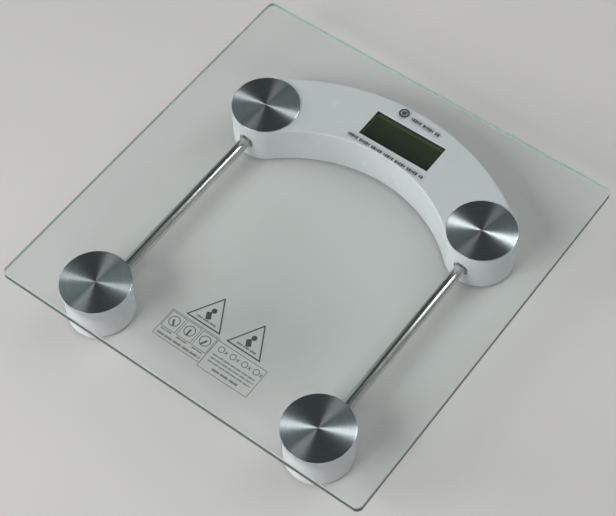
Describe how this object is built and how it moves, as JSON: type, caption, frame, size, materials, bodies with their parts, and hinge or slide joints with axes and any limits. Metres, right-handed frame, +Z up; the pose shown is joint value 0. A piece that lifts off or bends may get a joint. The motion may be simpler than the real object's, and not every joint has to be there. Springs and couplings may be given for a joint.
{
  "type": "digital bathroom scale",
  "caption": "Square glass weighing platform on round sprung pods, with a crescent display housing at the back and steel tubes joining the pods underneath.",
  "frame": {"origin": "on the floor under the centre of the platform", "axes": "+Z up; +Y towards the display end, away from the user; +X to the user's right"},
  "size_m": [0.33, 0.33, 0.044],
  "materials": {
    "clear_glass": "clear float glass with a faint green cast, ground edges",
    "spun_aluminium": "concentric spun pattern, anisotropic",
    "white_plastic": "glossy moulded ABS",
    "polished_steel": "polished tube",
    "bare_steel": "zinc-plated or stamped steel",
    "grey_plastic": "satin",
    "black_plastic": "satin",
    "rubber": "moulded, matte",
    "lcd": "unlit reflective LCD glass, dark green",
    "board_green": "solder mask",
    "brass": "spring strip",
    "wire_grey": "PVC insulation"
  },
  "bodies": {
    "platform_body": {"battery_contact_side": "brass", "battery_contact_top": "brass", "battery_lead": "wire_grey", "circuit_board": "board_green", "coin_cell": "bare_steel", "contact_strip_back": "rubber", "contact_strip_front": "rubber", "controller_chip": "black_plastic", "cover_disc_back_left": "spun_aluminium", "cover_disc_back_right": "spun_aluminium", "cover_disc_front_left": "spun_aluminium", "cover_disc_front_right": "spun_aluminium", "display_housing": "white_plastic", "glass_platform": "clear_glass", "housing_base": "white_plastic", "housing_screw_end_left": "bare_steel", "housing_screw_end_right": "bare_steel", "housing_screw_middle_left": "bare_steel", "housing_screw_middle_right": "bare_steel", "lcd_holder": "black_plastic", "lcd_panel": "lcd", "load_cell_back_left": "bare_steel", "load_cell_back_right": "bare_steel", "load_cell_clamp_back_left": "black_plastic", "load_cell_clamp_back_right": "black_plastic", "load_cell_clamp_front_left": "black_plastic", "load_cell_clamp_front_right": "black_plastic", "load_cell_front_left": "bare_steel", "load_cell_front_right": "bare_steel", "pod_base_front_left": "white_plastic", "pod_base_front_right": "white_plastic", "pod_screw_inner_left": "bare_steel", "pod_screw_inner_right": "bare_steel", "pod_screw_outer_left": "bare_steel", "pod_screw_outer_right": "bare_steel", "pod_shell_front_left": "white_plastic", "pod_shell_front_right": "white_plastic", "steel_tube_left": "polished_steel", "steel_tube_right": "polished_steel", "tube_bush_back_left": "grey_plastic", "tube_bush_back_right": "grey_plastic", "tube_bush_front_left": "grey_plastic", "tube_bush_front_right": "grey_plastic", "unit_switch": "black_plastic", "wire_lead_back_left": "wire_grey", "wire_lead_back_right": "wire_grey", "wire_loom_front_left": "wire_grey", "wire_loom_front_right": "wire_grey"},
    "sprung_foot_back_left": {"foot_back_left": "white_plastic", "foot_pad_back_left": "rubber"},
    "sprung_foot_back_right": {"foot_back_right": "white_plastic", "foot_pad_back_right": "rubber"},
    "sprung_foot_front_left": {"foot_front_left": "white_plastic", "foot_pad_front_left": "rubber"},
    "sprung_foot_front_right": {"foot_front_right": "white_plastic", "foot_pad_front_right": "rubber"},
    "unit_key": {"unit_button": "grey_plastic"},
    "battery_cap_body": {"battery_cap": "white_plastic"}
  },
  "joints": [
    {"name": "foot_press_back_left", "type": "slide", "parent": "platform_body", "child": "sprung_foot_back_left", "axis": [0, 0, 1], "range_m": [0, 0.0008], "stiffness_N_per_m": 50000, "springref_m": -0.0005},
    {"name": "foot_press_back_right", "type": "slide", "parent": "platform_body", "child": "sprung_foot_back_right", "axis": [0, 0, 1], "range_m": [0, 0.0008], "stiffness_N_per_m": 50000, "springref_m": -0.0005},
    {"name": "foot_press_front_left", "type": "slide", "parent": "platform_body", "child": "sprung_foot_front_left", "axis": [0, 0, 1], "range_m": [0, 0.0008], "stiffness_N_per_m": 50000, "springref_m": -0.0005},
    {"name": "foot_press_front_right", "type": "slide", "parent": "platform_body", "child": "sprung_foot_front_right", "axis": [0, 0, 1], "range_m": [0, 0.0008], "stiffness_N_per_m": 50000, "springref_m": -0.0005},
    {"name": "unit_key_press", "type": "slide", "parent": "platform_body", "child": "unit_key", "axis": [0, 0, 1], "range_m": [0, 0.001], "stiffness_N_per_m": 400, "springref_m": -0.001},
    {"name": "battery_cap_turn", "type": "hinge", "parent": "platform_body", "child": "battery_cap_body", "pos_m": [-0.008, 0.116, 0.004], "axis": [0, 0, 1], "range_deg": [0, 45]}
  ]
}
